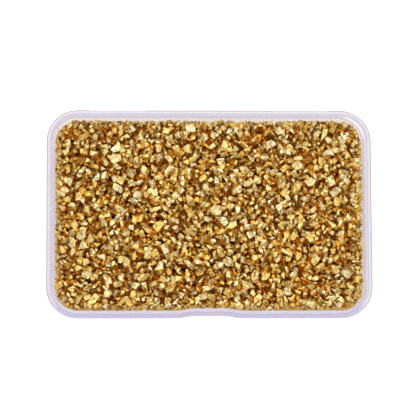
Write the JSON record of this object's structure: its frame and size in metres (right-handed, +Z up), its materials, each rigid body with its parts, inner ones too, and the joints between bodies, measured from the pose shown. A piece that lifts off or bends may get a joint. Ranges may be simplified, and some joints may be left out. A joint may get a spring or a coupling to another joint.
{
  "type": "box of gold chips",
  "caption": "Shallow rounded plastic tray filled with gold-coloured crushed chips, standing in its own lift-off lid, with a thumb scoop in the front side.",
  "frame": {"origin": "under the middle of the tray, on the face that the lid rests on", "axes": "+X along the long side, +Y to the back, away from the thumb scoop, +Z up"},
  "size_m": [0.095, 0.0622, 0.021],
  "materials": {
    "tray_plastic": "moulded clear polypropylene, slightly milky",
    "lid_plastic": "moulded clear polypropylene, slightly milky",
    "gold_chips": "gold-coloured metallic coating on crushed chips"
  },
  "bodies": {
    "lid": {"lid": "lid_plastic"},
    "tray": {"tray": "tray_plastic", "chip_bed": "gold_chips", "coarse_chips": "gold_chips", "medium_chips": "gold_chips", "fine_chips": "gold_chips"}
  },
  "joints": [
    {"name": "tray_lift", "type": "slide", "parent": "lid", "child": "tray", "axis": [0, 0, 1], "range_m": [0, 0.03]}
  ]
}
